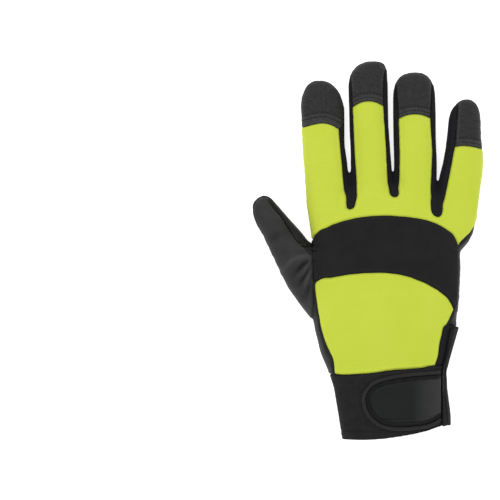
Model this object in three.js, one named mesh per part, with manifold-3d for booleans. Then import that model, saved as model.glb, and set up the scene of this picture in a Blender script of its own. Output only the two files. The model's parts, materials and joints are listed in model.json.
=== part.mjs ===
// A mechanic's work glove for the right hand, lying palm down.
// X runs across the hand with the thumb at -X, Y runs from the cuff to the fingertips, Z is up.
// All lengths are in millimetres. The hollow for the hand is open at the hem.
import * as THREE from 'three';
import { mergeVertices } from 'three/addons/utils/BufferGeometryUtils.js';
import Module from 'manifold-3d';

const wasm = await Module();
wasm.setup();

// Hand sizes: the cuff reaches from the hem to the wrist seam, the palm from there to the finger roots.
const CUFF_LENGTH = 46;
const CUFF_WIDTH = 73;
const CUFF_THICKNESS = 30;
const CUFF_OFFSET = 7;
const PALM_LENGTH = 114;
const PALM_WIDTH = 96;
const PALM_THICKNESS = 34;

// Fingers, each measured from its knuckle inside the hand to its tip. Lean is in degrees from Y toward +X,
// across and along place the knuckle as shares of half the palm's width and of its length.
const FINGERS = {
  index: { length: 110.4, width: 29.4, thickness: 21, lean: -3.4, across: -0.75, along: 0.72 },
  middle: { length: 115.8, width: 26.8, thickness: 21, lean: -1.7, across: -0.177, along: 0.78 },
  ring: { length: 111.2, width: 29, thickness: 21, lean: -0.6, across: 0.406, along: 0.755 },
  pinky: { length: 96.7, width: 28, thickness: 20, lean: 6.8, across: 0.875, along: 0.737 },
  thumb: { length: 101.8, width: 29, thickness: 22, lean: -32.3, across: -0.637, along: 0.26 },
};

// Skin and trim sizes.
const WALL = 1.5;
const SEAM_GAP = 0.3;
const PRESS = 1.2;
const BAND_RAISE = 0.7;
const STRAP_THICKNESS = 1.7;
const STRAP_PIPING_WIDTH = 2.6;
const STRAP_PIPING_RAISE = 0.6;
const FACE_THICKNESS = 0.6;
const FACE_MARGIN = 2.4;
const BINDING_THICKNESS = 1.8;
const BINDING_SHARE = 0.62;
const SLIT_WIDTH = 0.6;

// Heights of the side seams, as shares of the thickness there.
const SEAM_SHARE = 0.45;
const FINGER_SEAM_HEIGHT = 0.34 * FINGERS.index.thickness;
const THUMB_SEAM_HEIGHT = 0.4 * FINGERS.thumb.thickness;
const BACK_SEAM_HEIGHT = 0.5 * PALM_THICKNESS;
const HORSESHOE_HEIGHT = 0.3 * PALM_THICKNESS;

// Roundness of the cross sections, and the number of sides they are drawn with outside and inside.
const FINGER_SECTION = { power: 2.2, sides: 16, sidesWithin: 12 };
const HAND_SECTION = { power: 2.6, sides: 28, sidesWithin: 20 };

const REACH = 400;
const TOP = 80;

// Cross sections of the cuff: along is a share of its length, left and right of half its width, thick of
// its thickness.
const CUFF_ROWS = [
  { along: -0.25, left: 0.98, right: 0.95, thick: 1.0 },
  { along: 0.1, left: 1.01, right: 0.94, thick: 1.0 },
  { along: 0.42, left: 1.07, right: 0.92, thick: 1.01 },
  { along: 0.76, left: 1.14, right: 0.86, thick: 1.03 },
];

// Cross sections of the palm in the same way. Arch bends a section toward the fingers in its middle, as a
// share of the palm's length.
const PALM_ROWS = [
  { along: 0, left: 0.795, right: 0.79, thick: 0.93, arch: 0 },
  { along: 0.11, left: 0.905, right: 0.86, thick: 0.97, arch: 0 },
  { along: 0.25, left: 0.985, right: 0.955, thick: 1.01, arch: 0 },
  { along: 0.42, left: 1.0, right: 0.995, thick: 1.02, arch: 0 },
  { along: 0.6, left: 1.004, right: 1.012, thick: 0.97, arch: 0 },
  { along: 0.76, left: 0.99, right: 0.996, thick: 0.88, arch: 0.03 },
  { along: 0.87, left: 0.98, right: 0.99, thick: 0.79, arch: 0.05 },
  { along: 0.96, left: 0.95, right: 0.96, thick: 0.66, arch: 0.055 },
  { along: 1.02, left: 0.9, right: 0.92, thick: 0.45, arch: 0.055 },
  { along: 1.05, left: 0.8, right: 0.85, thick: 0.2, arch: 0.055 },
];

// Cross sections of the fingers: left and right are shares of half the width.
const FINGER_ROWS = {
  index: [
    { along: -0.12, left: 0.55, right: 0.6, thick: 0.8 },
    { along: 0, left: 0.8, right: 0.9, thick: 1.2 },
    { along: 0.2, left: 1.0, right: 0.97, thick: 1.15 },
    { along: 0.45, left: 1.02, right: 0.94, thick: 1.04 },
    { along: 0.6, left: 1.04, right: 0.87, thick: 0.98 },
    { along: 0.72, left: 1.03, right: 0.93, thick: 0.92 },
    { along: 0.84, left: 1.04, right: 0.98, thick: 0.86 },
  ],
  middle: [
    { along: 0, left: 1.05, right: 1.05, thick: 1.18 },
    { along: 0.2, left: 1.06, right: 1.06, thick: 1.14 },
    { along: 0.45, left: 1.02, right: 1.0, thick: 1.05 },
    { along: 0.62, left: 1.05, right: 0.93, thick: 0.98 },
    { along: 0.75, left: 1.04, right: 0.94, thick: 0.92 },
    { along: 0.87, left: 1.05, right: 0.96, thick: 0.84 },
  ],
  ring: [
    { along: 0, left: 1.0, right: 0.95, thick: 1.18 },
    { along: 0.2, left: 1.0, right: 0.97, thick: 1.14 },
    { along: 0.45, left: 0.99, right: 1.01, thick: 1.05 },
    { along: 0.62, left: 1.0, right: 0.98, thick: 0.98 },
    { along: 0.75, left: 1.01, right: 0.99, thick: 0.92 },
    { along: 0.87, left: 1.0, right: 0.97, thick: 0.84 },
  ],
  pinky: [
    { along: -0.1, left: 0.8, right: 0.3, thick: 0.7 },
    { along: 0.03, left: 0.95, right: 0.88, thick: 1.1 },
    { along: 0.14, left: 0.97, right: 1.1, thick: 1.14 },
    { along: 0.36, left: 0.95, right: 1.09, thick: 1.06 },
    { along: 0.53, left: 0.81, right: 1.13, thick: 1.0 },
    { along: 0.64, left: 0.76, right: 1.05, thick: 0.95 },
    { along: 0.71, left: 0.75, right: 0.93, thick: 0.9 },
    { along: 0.84, left: 0.78, right: 0.78, thick: 0.83 },
  ],
  thumb: [
    { along: 0, left: 0.72, right: 0.72, thick: 1.25 },
    { along: 0.15, left: 0.93, right: 0.9, thick: 1.18 },
    { along: 0.28, left: 1.01, right: 0.97, thick: 1.1 },
    { along: 0.39, left: 1.07, right: 1.05, thick: 1.02 },
    { along: 0.5, left: 0.98, right: 1.0, thick: 0.96 },
    { along: 0.64, left: 0.87, right: 0.88, thick: 0.88 },
    { along: 0.77, left: 0.74, right: 0.7, thick: 0.76 },
    { along: 0.87, left: 0.74, right: 0.58, thick: 0.68 },
  ],
};

// Round ends: power sets how blunt a tip is, shift leans its apex aside as a share of half the width.
const TIPS = {
  index: { power: 1.95, shift: -0.14 },
  middle: { power: 2.3, shift: 0.18 },
  ring: { power: 2.3, shift: 0.02 },
  pinky: { power: 1.95, shift: 0.03 },
  thumb: { power: 2.1, shift: -0.06 },
};
const TIP_STEPS = [0.45, 0.78, 0.95];

// The back's strip along each finger. Cap is where the fingertip cap starts, rise how far that seam bends
// toward the tip. Left and right reach across the finger at its crotch, its middle, its cap seam and its
// tip, in shares of half the width. Open sides run on to the side seam.
const STRIPS = {
  index: { cap: 0.747, rise: 0.035, left: [-1.6, -1.6, -1.6, -1.6], right: [0.72, 0.68, 0.64, 1.0] },
  middle: { cap: 0.761, rise: 0.028, left: [-0.79, -0.85, -0.87, -0.95], right: [0.79, 0.76, 0.7, 0.8] },
  ring: { cap: 0.741, rise: 0.023, left: [-0.79, -0.74, -0.77, -0.9], right: [0.7, 0.8, 0.72, 0.86] },
  pinky: { cap: 0.668, rise: 0.016, left: [-0.55, -0.42, -0.36, -0.46], right: [1.6, 1.6, 1.6, 1.6] },
};

// Crotches between the fingers where the back panel parts, on the hand. Round is the radius of each, as
// a share of half the palm's width.
const CROTCHES = [
  { across: -0.506, along: 0.93, round: 0.075 },
  { across: 0.11, along: 1.0, round: 0.071 },
  { across: 0.7, along: 0.886, round: 0.079 },
];

// Points of a plan outline, on the palm, on the cuff and on a finger.
const palm = (across, along) => new THREE.Vector2(
  across * PALM_WIDTH / 2,
  CUFF_LENGTH + along * PALM_LENGTH,
);

const cuff = (across, along) => new THREE.Vector2(
  CUFF_OFFSET + across * CUFF_WIDTH / 2,
  along * CUFF_LENGTH,
);

function fingerAxis(finger) {
  const lean = THREE.MathUtils.degToRad(finger.lean);
  const forward = new THREE.Vector2(Math.sin(lean), Math.cos(lean));
  const sideways = new THREE.Vector2(forward.y, -forward.x);
  return { root: palm(finger.across, finger.along), forward, sideways };
}

function onFinger(name, along, across) {
  const finger = FINGERS[name];
  const { root, forward, sideways } = fingerAxis(finger);
  return root
    .addScaledVector(forward, along * finger.length)
    .addScaledVector(sideways, across * finger.width / 2);
}

const curve = (points, steps) => new THREE.SplineCurve(points).getPoints(steps);

// Closed solids from three.js geometry.
function solidOf(geometry) {
  const bare = geometry.clone();
  bare.deleteAttribute('normal');
  bare.deleteAttribute('uv');
  const merged = mergeVertices(bare, 1e-4);
  return new wasm.Manifold(new wasm.Mesh({
    numProp: 3,
    vertProperties: new Float32Array(merged.attributes.position.array),
    triVerts: new Uint32Array(merged.index.array),
  }));
}

function geometryOf(solid) {
  const mesh = solid.getMesh();
  const geometry = new THREE.BufferGeometry();
  geometry.setAttribute('position', new THREE.BufferAttribute(mesh.vertProperties, 3));
  geometry.setIndex(new THREE.BufferAttribute(mesh.triVerts, 1));
  geometry.computeVertexNormals();
  return geometry;
}

// One cross section, a rounded oval standing upright, widest at the side seam and pressed against the
// surface below.
function crossSection(place, row, shape, grow) {
  const points = [];
  const seam = SEAM_SHARE * row.thickness;
  const sides = grow < 0 ? shape.sidesWithin : shape.sides;
  for (let k = 0; k < sides; k += 1) {
    const angle = (2 * Math.PI * k) / sides;
    const u = Math.sign(Math.cos(angle)) * Math.abs(Math.cos(angle)) ** (2 / shape.power);
    const v = Math.sign(Math.sin(angle)) * Math.abs(Math.sin(angle)) ** (2 / shape.power);
    const half = u > 0 ? row.right : row.left;
    const rise = v > 0 ? row.thickness - seam : seam + PRESS;
    const spot = place.centre.clone()
      .addScaledVector(place.sideways, u * (half + grow) * row.scale)
      .addScaledVector(place.forward, row.arch * (1 - u * u));
    points.push(new THREE.Vector3(spot.x, spot.y, seam + v * (rise + grow) * row.scale));
  }
  return points;
}

// A closed skin over a run of cross sections with the same number of sides.
function loft(sections) {
  const sides = sections[0].length;
  const last = sections.length - 1;
  const middleOf = (ring) => ring
    .reduce((sum, point) => sum.add(point), new THREE.Vector3())
    .divideScalar(sides);
  const points = [...sections.flat(), middleOf(sections[0]), middleOf(sections[last])];
  const faces = [];
  for (let k = 0; k < sides; k += 1) {
    const next = (k + 1) % sides;
    for (let row = 0; row < last; row += 1) {
      const here = row * sides;
      const there = here + sides;
      faces.push(here + k, there + k, there + next);
      faces.push(here + k, there + next, here + next);
    }
    faces.push(points.length - 2, k, next);
    faces.push(points.length - 1, last * sides + next, last * sides + k);
  }
  const geometry = new THREE.BufferGeometry().setFromPoints(points);
  geometry.setIndex(faces);
  return solidOf(geometry);
}

function fingerSolid(name, grow) {
  const finger = FINGERS[name];
  const tip = TIPS[name];
  const rows = FINGER_ROWS[name];
  const { root, forward, sideways } = fingerAxis(finger);
  const half = finger.width / 2;
  const sectionAt = (distance, row, scale, shift) => crossSection(
    {
      centre: root.clone().addScaledVector(forward, distance).addScaledVector(sideways, shift * half),
      forward,
      sideways,
    },
    {
      left: row.left * half,
      right: row.right * half,
      thickness: row.thick * finger.thickness,
      arch: 0,
      scale,
    },
    FINGER_SECTION,
    grow,
  );
  const sections = rows.map((row) => sectionAt(row.along * finger.length, row, 1, 0));
  const last = rows[rows.length - 1];
  const start = last.along * finger.length;
  const end = finger.length + grow;
  for (const step of TIP_STEPS) {
    const scale = (1 - step ** tip.power) ** (1 / tip.power);
    sections.push(sectionAt(start + (end - start) * step, last, scale, tip.shift * step * step));
  }
  return loft(sections);
}

function handBlock(grow) {
  const forward = new THREE.Vector2(0, 1);
  const sideways = new THREE.Vector2(1, 0);
  const cuffSections = CUFF_ROWS.map((row) => crossSection(
    { centre: cuff(0, row.along), forward, sideways },
    {
      left: row.left * CUFF_WIDTH / 2,
      right: row.right * CUFF_WIDTH / 2,
      thickness: row.thick * CUFF_THICKNESS,
      arch: 0,
      scale: 1,
    },
    HAND_SECTION,
    grow,
  ));
  const palmSections = PALM_ROWS.map((row) => crossSection(
    { centre: palm(0, row.along), forward, sideways },
    {
      left: row.left * PALM_WIDTH / 2,
      right: row.right * PALM_WIDTH / 2,
      thickness: row.thick * PALM_THICKNESS,
      arch: row.arch * PALM_LENGTH,
      scale: 1,
    },
    HAND_SECTION,
    grow,
  ));
  return loft([...cuffSections, ...palmSections]);
}

function boxSolid(low, high) {
  const size = new THREE.Vector3().subVectors(high, low);
  const geometry = new THREE.BoxGeometry(size.x, size.y, size.z);
  geometry.translate((low.x + high.x) / 2, (low.y + high.y) / 2, (low.z + high.z) / 2);
  return solidOf(geometry);
}

// The whole hand, swollen or shrunk by one distance and lying flat on the surface.
function handSolid(grow) {
  let hand = handBlock(grow);
  for (const name of Object.keys(FINGERS)) {
    hand = hand.add(fingerSolid(name, grow));
  }
  const floor = Math.max(0, -grow);
  const above = boxSolid(
    new THREE.Vector3(-REACH, -REACH, floor),
    new THREE.Vector3(REACH, REACH, TOP),
  );
  return hand.intersect(above);
}

// The outline with each edge moved outward by one distance, and corners mitred.
function movedOutline(points, distance) {
  const turn = Math.sign(THREE.ShapeUtils.area(points));
  return points.map((point, k) => {
    const before = points[(k + points.length - 1) % points.length];
    const after = points[(k + 1) % points.length];
    const first = new THREE.Vector2().subVectors(point, before).normalize();
    const second = new THREE.Vector2().subVectors(after, point).normalize();
    const normal = new THREE.Vector2(first.y + second.y, -first.x - second.x);
    const length = Math.max(normal.lengthSq() / 2, 0.2);
    return point.clone().addScaledVector(normal, (turn * distance) / length);
  });
}

// An upright block over a plan outline, between two heights.
function block(outline, low, high, grow = 0) {
  const geometry = new THREE.ExtrudeGeometry(
    new THREE.Shape(movedOutline(outline, grow)),
    { depth: high - low + 2 * grow, bevelEnabled: false },
  );
  geometry.translate(0, 0, low - grow);
  return solidOf(geometry);
}

function largestBody(solid) {
  return solid.decompose().reduce((best, body) => (body.volume() > best.volume() ? body : best));
}

// Edges of the knuckle band across the back of the hand.
const bandTop = curve([
  palm(-1.006, 0.775), palm(-0.77, 0.838), palm(-0.43, 0.882), palm(0.02, 0.897),
  palm(0.53, 0.872), palm(0.8, 0.822), palm(0.93, 0.768), palm(0.975, 0.715),
], 14);
const bandBottom = curve([
  palm(-1.006, 0.516), palm(-0.77, 0.54), palm(-0.45, 0.563), palm(-0.02, 0.569),
  palm(0.3, 0.545), palm(0.6, 0.492), palm(0.84, 0.419), palm(0.91, 0.355),
], 12);
const BAND_SIDE = [palm(0.975, 0.46), palm(0.955, 0.36)];

function bandOutline() {
  return [...bandTop, ...BAND_SIDE, ...bandBottom.toReversed()];
}

// The wrist seam, where the cuff starts, and the hem of the cuff.
const wristSeam = curve([
  palm(-1.2, 0), palm(-0.7, -0.013), palm(-0.05, 0.006), palm(0.5, 0.022), palm(1.2, 0.035),
], 7);
const hem = curve([
  cuff(-1.5, 0.03), cuff(-0.94, 0.012), cuff(-0.45, 0.014), cuff(-0.02, 0.055),
  cuff(0.31, 0.1), cuff(0.6, 0.157), cuff(0.8, 0.215), cuff(1.0, 0.23), cuff(1.5, 0.25),
], 10);

function cuffOutline() {
  const below = -REACH;
  return [
    ...wristSeam,
    new THREE.Vector2(REACH, wristSeam.at(-1).y),
    new THREE.Vector2(REACH, below),
    new THREE.Vector2(-REACH, below),
    new THREE.Vector2(-REACH, wristSeam[0].y),
  ];
}

function hemOutline() {
  return [
    ...hem,
    new THREE.Vector2(REACH, hem.at(-1).y),
    new THREE.Vector2(REACH, -REACH),
    new THREE.Vector2(-REACH, -REACH),
    new THREE.Vector2(-REACH, hem[0].y),
  ];
}

// The lower part of the back, from the knuckle band to the wrist.
function lowerBackOutline() {
  return [
    ...bandBottom.slice(1),
    palm(0.87, 0.318), palm(0.83, 0.283), palm(0.763, 0.256), palm(0.748, 0.214), palm(0.715, 0.16),
    palm(0.7, 0.09), palm(0.65, 0.03), palm(0.6, 0.0),
    palm(-0.3, -0.03),
    palm(-0.72, -0.02), palm(-0.745, 0.06), palm(-0.81, 0.15), palm(-0.88, 0.27), palm(-0.925, 0.4),
    palm(-0.96, 0.5),
  ];
}

// The dark gusset between the lower back and the bound edge of the wrist opening.
function gussetOutline() {
  return [
    palm(0.7, 0.268), palm(0.93, 0.268), palm(0.9, 0.14), palm(0.84, 0.05), palm(0.8, -0.02),
    palm(0.6, -0.02), palm(0.6, 0.12),
  ];
}

// The thumb's back panel, and the whole thumb up to its seam on the hand.
const THUMB_SEAM = -1.006;
function thumbBackOutline() {
  return [
    palm(THUMB_SEAM, 0.22),
    palm(THUMB_SEAM, 0.64),
    onFinger('thumb', 0.62, 0.62),
    onFinger('thumb', 0.8, 0.46),
    onFinger('thumb', 0.98, 0.26),
    onFinger('thumb', 1.2, 0.2),
    onFinger('thumb', 1.2, -1.6),
    onFinger('thumb', 0.2, -1.8),
  ];
}

function thumbOutline() {
  return [
    palm(THUMB_SEAM, 0.2),
    palm(THUMB_SEAM, 0.735),
    onFinger('thumb', 0.75, 1.6),
    onFinger('thumb', 1.2, 1.6),
    onFinger('thumb', 1.2, -1.8),
    onFinger('thumb', 0.2, -1.9),
  ];
}

// The horseshoe by which the thumb's front is set into the palm.
function horseshoeOutline() {
  const seam = curve([
    palm(-1.3, 0.68), palm(-1.0, 0.665), palm(-0.75, 0.653), palm(-0.5, 0.595), palm(-0.3, 0.496),
    palm(-0.19, 0.382), palm(-0.165, 0.295), palm(-0.206, 0.208), palm(-0.344, 0.122),
    palm(-0.506, 0.087), palm(-0.78, 0.078), palm(-1.3, 0.13),
  ], 18);
  return seam;
}

// A line across a finger at its cap seam, bent a little toward the tip.
function capSeam(name) {
  const strip = STRIPS[name];
  const [left, right] = [strip.left[2], strip.right[2]];
  const side = strip.cap - strip.rise;
  const middle = (Math.max(left, -1) + Math.min(right, 1)) / 2;
  return curve([
    onFinger(name, side, left),
    onFinger(name, strip.cap, middle - 0.3),
    onFinger(name, strip.cap, middle + 0.3),
    onFinger(name, side, right),
  ], 6);
}

function capOutline(name) {
  const strip = STRIPS[name];
  return [
    ...capSeam(name),
    onFinger(name, 1.0, strip.right[3]),
    onFinger(name, 1.3, strip.right[3]),
    onFinger(name, 1.3, strip.left[3]),
    onFinger(name, 1.0, strip.left[3]),
  ];
}

// One edge of a finger's strip of the back, from the crotch up past its cap seam.
function stripEdge(name, side) {
  const strip = STRIPS[name];
  const [low, middle, high] = strip[side];
  return [
    onFinger(name, 0.3, low),
    onFinger(name, 0.52, middle),
    onFinger(name, strip.cap - strip.rise, high),
    onFinger(name, strip.cap + 0.1, high),
  ];
}

// The rounded bottom of a crotch, from the left finger to the right one.
function crotchArc(crotch) {
  const centre = palm(crotch.across, crotch.along);
  const radius = crotch.round * PALM_WIDTH / 2;
  const points = [];
  const steps = 4;
  for (let k = 0; k <= steps; k += 1) {
    const angle = Math.PI * (1 + k / steps);
    points.push(new THREE.Vector2(
      centre.x + radius * Math.cos(angle),
      centre.y + radius * (1 + Math.sin(angle)),
    ));
  }
  return points;
}

// The upper part of the back with its four strips along the fingers.
function upperBackOutline() {
  const [first, second, third] = CROTCHES.map(crotchArc);
  return [
    ...bandTop.toReversed(),
    palm(-1.4, 0.74),
    ...stripEdge('index', 'left'),
    ...stripEdge('index', 'right').toReversed(),
    ...first,
    ...stripEdge('middle', 'left'),
    ...stripEdge('middle', 'right').toReversed(),
    ...second,
    ...stripEdge('ring', 'left'),
    ...stripEdge('ring', 'right').toReversed(),
    ...third,
    ...stripEdge('pinky', 'left'),
    ...stripEdge('pinky', 'right').toReversed(),
    palm(1.4, 0.9), palm(1.24, 0.885), palm(1.21, 0.835), palm(1.14, 0.795), palm(1.06, 0.765),
    palm(0.985, 0.735),
  ];
}

// What is left of the side walls between two neighbouring fingers.
function betweenOutline(left, right) {
  return [
    onFinger(left, 0.05, 0),
    onFinger(right, 0.05, 0),
    onFinger(right, 1.3, 0),
    onFinger(left, 1.3, 0),
  ];
}

// The fronts of the middle and ring fingers, which start at a seam across the palm.
function frontOutlines() {
  const parting = [onFinger('ring', 0.1, -1.02), onFinger('ring', 0.5, -1.25), onFinger('ring', 1.3, -1.25)];
  const middleBase = [palm(-0.56, 1.08), palm(-0.37, 0.998), palm(-0.07, 0.985), palm(0.1, 0.975)];
  const ringBase = [palm(0.1, 0.975), palm(0.245, 0.968), palm(0.425, 0.947), palm(0.62, 0.935), palm(0.7, 0.98)];
  return {
    middle: [
      ...middleBase,
      ...parting.slice(1),
      onFinger('middle', 1.3, -1.3),
      onFinger('middle', 0.45, -1.22),
    ],
    ring: [
      ...ringBase,
      onFinger('ring', 0.45, 1.22),
      onFinger('ring', 1.3, 1.4),
      ...parting.slice(1).toReversed(),
    ],
  };
}

// The closing strap over the cuff, a tab with a round free end that is sewn down beside the opening.
function strapOutline() {
  return curve([
    cuff(0.775, 0.29), cuff(0.62, 0.215), cuff(0.31, 0.17), cuff(-0.05, 0.157), cuff(-0.3, 0.196),
    cuff(-0.49, 0.297), cuff(-0.61, 0.44), cuff(-0.65, 0.61), cuff(-0.6, 0.74), cuff(-0.46, 0.86),
    cuff(-0.25, 0.924), cuff(0.07, 0.974), cuff(0.42, 1.0), cuff(0.775, 1.02),
  ], 22);
}

// The strap's outline moved inward by one distance, but not at its sewn end.
function strapWithin(distance) {
  const outline = strapOutline();
  const sewnEnd = [outline[0], outline.at(-1)].map((point) => {
    const further = point.clone();
    further.x += 2 * distance;
    return further;
  });
  return movedOutline([...outline, sewnEnd[1], sewnEnd[0]], -distance);
}

// The tape bound along the edge of the wrist opening.
function bindingOutline() {
  return [
    cuff(0.8, 0.18), cuff(0.8, 0.6), cuff(0.79, 0.9), palm(0.765, 0.03), palm(0.81, 0.11),
    palm(0.86, 0.24), palm(0.93, 0.262), palm(1.1, 0.25), palm(1.1, 0.02), cuff(1.15, 0.6),
    cuff(1.2, 0.2),
  ];
}

function slitOutline() {
  const half = SLIT_WIDTH / 2;
  const foot = cuff(0.9, -0.5);
  const head = cuff(0.9, 1.5);
  return [
    new THREE.Vector2(foot.x - half, foot.y),
    new THREE.Vector2(foot.x + half, foot.y),
    new THREE.Vector2(head.x + half, head.y),
    new THREE.Vector2(head.x - half, head.y),
  ];
}

// A layer that follows the hand's skin between two distances from it, negative ones being inside.
const belowHem = block(hemOutline(), -TOP, TOP);
const layer = (from, to) => handSolid(to).subtract(handSolid(from)).subtract(belowHem);

// Panels are cut from the wall one after another. Each keeps half the seam gap from its outline, and the
// rest of the wall steps back by the other half.
let wall = layer(-WALL, 0);
const panels = {};

function cutPanel(name, cutter, stock = wall) {
  panels[name] = largestBody(stock.intersect(cutter(-SEAM_GAP / 2)));
  wall = wall.subtract(cutter(SEAM_GAP / 2));
}

function cutPanels() {
  const slit = block(slitOutline(), SEAM_SHARE * CUFF_THICKNESS, TOP);
  cutPanel('cuff', (grow) => block(cuffOutline(), -TOP, TOP, grow));
  panels.cuff = largestBody(panels.cuff.subtract(slit));
  cutPanel('thumb_back', (grow) => block(thumbBackOutline(), THUMB_SEAM_HEIGHT, TOP, grow));
  cutPanel('thumb_front', (grow) => block(thumbOutline(), -TOP, TOP, grow)
    .add(block(horseshoeOutline(), -TOP, HORSESHOE_HEIGHT, grow)));
  const bandLayer = layer(-WALL, BAND_RAISE);
  cutPanel('knuckle_band', (grow) => block(bandOutline(), BACK_SEAM_HEIGHT, TOP, grow), bandLayer);
  cutPanel('back_panel_lower', (grow) => block(lowerBackOutline(), BACK_SEAM_HEIGHT, TOP, grow));
  cutPanel('vent_gusset', (grow) => block(gussetOutline(), BACK_SEAM_HEIGHT, TOP, grow));
  for (const name of Object.keys(STRIPS)) {
    cutPanel(`${name}_tip`, (grow) => block(capOutline(name), FINGER_SEAM_HEIGHT, TOP, grow));
  }
  cutPanel('back_panel_upper', (grow) => block(upperBackOutline(), FINGER_SEAM_HEIGHT, TOP, grow));
  for (const [left, right] of [['index', 'middle'], ['middle', 'ring'], ['ring', 'pinky']]) {
    const between = betweenOutline(left, right);
    cutPanel(`${left}_${right}_fourchette`, (grow) => block(between, FINGER_SEAM_HEIGHT, TOP, grow));
  }
  const fronts = frontOutlines();
  for (const name of ['middle', 'ring']) {
    cutPanel(`${name}_front`, (grow) => block(fronts[name], -TOP, TOP, grow));
  }
  panels.palm_panel = largestBody(wall);
}

// What lies on the cuff: the strap with its piping and its smooth face, and the bound edge beside it.
function layTrim() {
  const strapTop = SEAM_GAP + STRAP_THICKNESS;
  const above = BACK_SEAM_HEIGHT;
  const strap = block(strapOutline(), above, TOP);
  const tab = block(strapWithin(STRAP_PIPING_WIDTH + SEAM_GAP), above, TOP);
  const tabHole = block(strapWithin(STRAP_PIPING_WIDTH), above, TOP);
  const face = block(strapWithin(STRAP_PIPING_WIDTH + FACE_MARGIN), above, TOP);
  const tabLayer = layer(SEAM_GAP, strapTop);
  const pipingLayer = layer(SEAM_GAP, strapTop + STRAP_PIPING_RAISE);
  const faceLayer = layer(strapTop + SEAM_GAP, strapTop + SEAM_GAP + FACE_THICKNESS);
  panels.strap_tab = largestBody(tabLayer.intersect(strap).intersect(tab));
  panels.strap_piping = largestBody(pipingLayer.intersect(strap).subtract(tabHole));
  panels.strap_face = largestBody(faceLayer.intersect(strap).intersect(face));
  const bindingLayer = layer(SEAM_GAP, SEAM_GAP + BINDING_THICKNESS);
  panels.side_binding = largestBody(
    bindingLayer.intersect(block(bindingOutline(), BINDING_SHARE * CUFF_THICKNESS, TOP)),
  );
}

cutPanels();
layTrim();

// Materials by colour, roughness and metalness.
const MATERIALS = {
  palm_leather: { color: 0x35353a, roughness: 0.5 },
  thumb_suede: { color: 0x3a3a3b, roughness: 0.8 },
  tip_suede: { color: 0x363637, roughness: 0.85 },
  lime_knit: { color: 0xc3d445, roughness: 0.9 },
  black_neoprene: { color: 0x272727, roughness: 0.9 },
  fourchette_knit: { color: 0x222123, roughness: 0.95 },
  cuff_knit: { color: 0x292929, roughness: 0.95 },
  binding_tape: { color: 0x323232, roughness: 0.8 },
  strap_face: { color: 0x2c2e2f, roughness: 0.4 },
};

const NODES = {
  palm_panel: 'palm_leather',
  middle_front: 'palm_leather',
  ring_front: 'palm_leather',
  thumb_front: 'palm_leather',
  thumb_back: 'thumb_suede',
  back_panel_upper: 'lime_knit',
  knuckle_band: 'black_neoprene',
  back_panel_lower: 'lime_knit',
  index_tip: 'tip_suede',
  middle_tip: 'tip_suede',
  ring_tip: 'tip_suede',
  pinky_tip: 'tip_suede',
  index_middle_fourchette: 'fourchette_knit',
  middle_ring_fourchette: 'fourchette_knit',
  ring_pinky_fourchette: 'fourchette_knit',
  vent_gusset: 'fourchette_knit',
  cuff: 'cuff_knit',
  side_binding: 'binding_tape',
  strap_tab: 'cuff_knit',
  strap_piping: 'binding_tape',
  strap_face: 'strap_face',
};

const glove = new THREE.Group();
for (const [name, slot] of Object.entries(NODES)) {
  const material = new THREE.MeshStandardMaterial({ ...MATERIALS[slot], metalness: 0 });
  const mesh = new THREE.Mesh(geometryOf(panels[name]), material);
  mesh.name = name;
  glove.add(mesh);
}

// The origin is the middle of the glove's footprint on the surface.
const footprint = new THREE.Box3().setFromObject(glove).getCenter(new THREE.Vector3());
glove.position.set(-footprint.x, -footprint.y, 0);
glove.updateMatrixWorld(true);

export default glove;
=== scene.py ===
import json
import math

import bmesh
import bpy
import numpy as np
from mathutils import Matrix, Vector, noise
from mathutils.bvhtree import BVHTree
from mathutils.kdtree import KDTree


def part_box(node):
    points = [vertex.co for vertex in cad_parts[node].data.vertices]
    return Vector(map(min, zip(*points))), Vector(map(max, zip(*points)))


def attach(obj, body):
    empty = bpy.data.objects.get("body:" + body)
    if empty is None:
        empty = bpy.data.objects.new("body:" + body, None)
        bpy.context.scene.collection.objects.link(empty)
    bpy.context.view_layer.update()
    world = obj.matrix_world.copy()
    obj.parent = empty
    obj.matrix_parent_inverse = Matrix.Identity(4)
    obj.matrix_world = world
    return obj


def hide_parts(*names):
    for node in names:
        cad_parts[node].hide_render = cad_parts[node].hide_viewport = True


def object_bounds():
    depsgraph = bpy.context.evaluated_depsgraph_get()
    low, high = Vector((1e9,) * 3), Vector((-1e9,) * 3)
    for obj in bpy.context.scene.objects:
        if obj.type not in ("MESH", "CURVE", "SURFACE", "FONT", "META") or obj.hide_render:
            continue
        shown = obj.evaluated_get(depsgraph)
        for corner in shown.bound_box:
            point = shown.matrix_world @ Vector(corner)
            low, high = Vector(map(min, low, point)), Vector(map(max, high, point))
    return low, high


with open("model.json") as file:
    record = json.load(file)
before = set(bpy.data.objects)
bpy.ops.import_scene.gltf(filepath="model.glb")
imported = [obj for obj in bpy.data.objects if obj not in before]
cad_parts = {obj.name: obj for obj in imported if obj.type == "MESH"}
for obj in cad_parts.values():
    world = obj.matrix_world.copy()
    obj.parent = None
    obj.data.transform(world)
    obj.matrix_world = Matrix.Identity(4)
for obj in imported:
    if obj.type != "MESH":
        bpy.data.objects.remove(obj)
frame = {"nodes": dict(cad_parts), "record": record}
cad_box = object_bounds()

# A work glove for a right hand, lying palm down. +Y runs to the fingertips, the thumb is at -X, +Z is up.
# Lengths below are in millimetres and become metres where they are used.
MM = 0.001

# The sewn skin is drawn from the solids of its panels, the trim from its own solids.
TRIM = ("strap_tab", "strap_piping", "strap_face", "side_binding")
SHELL = tuple(name for name in sorted(frame["nodes"]) if name not in TRIM)
SLOTS = {part["node"]: part["material_slot"] for part in frame["record"]["subparts"]}

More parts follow.
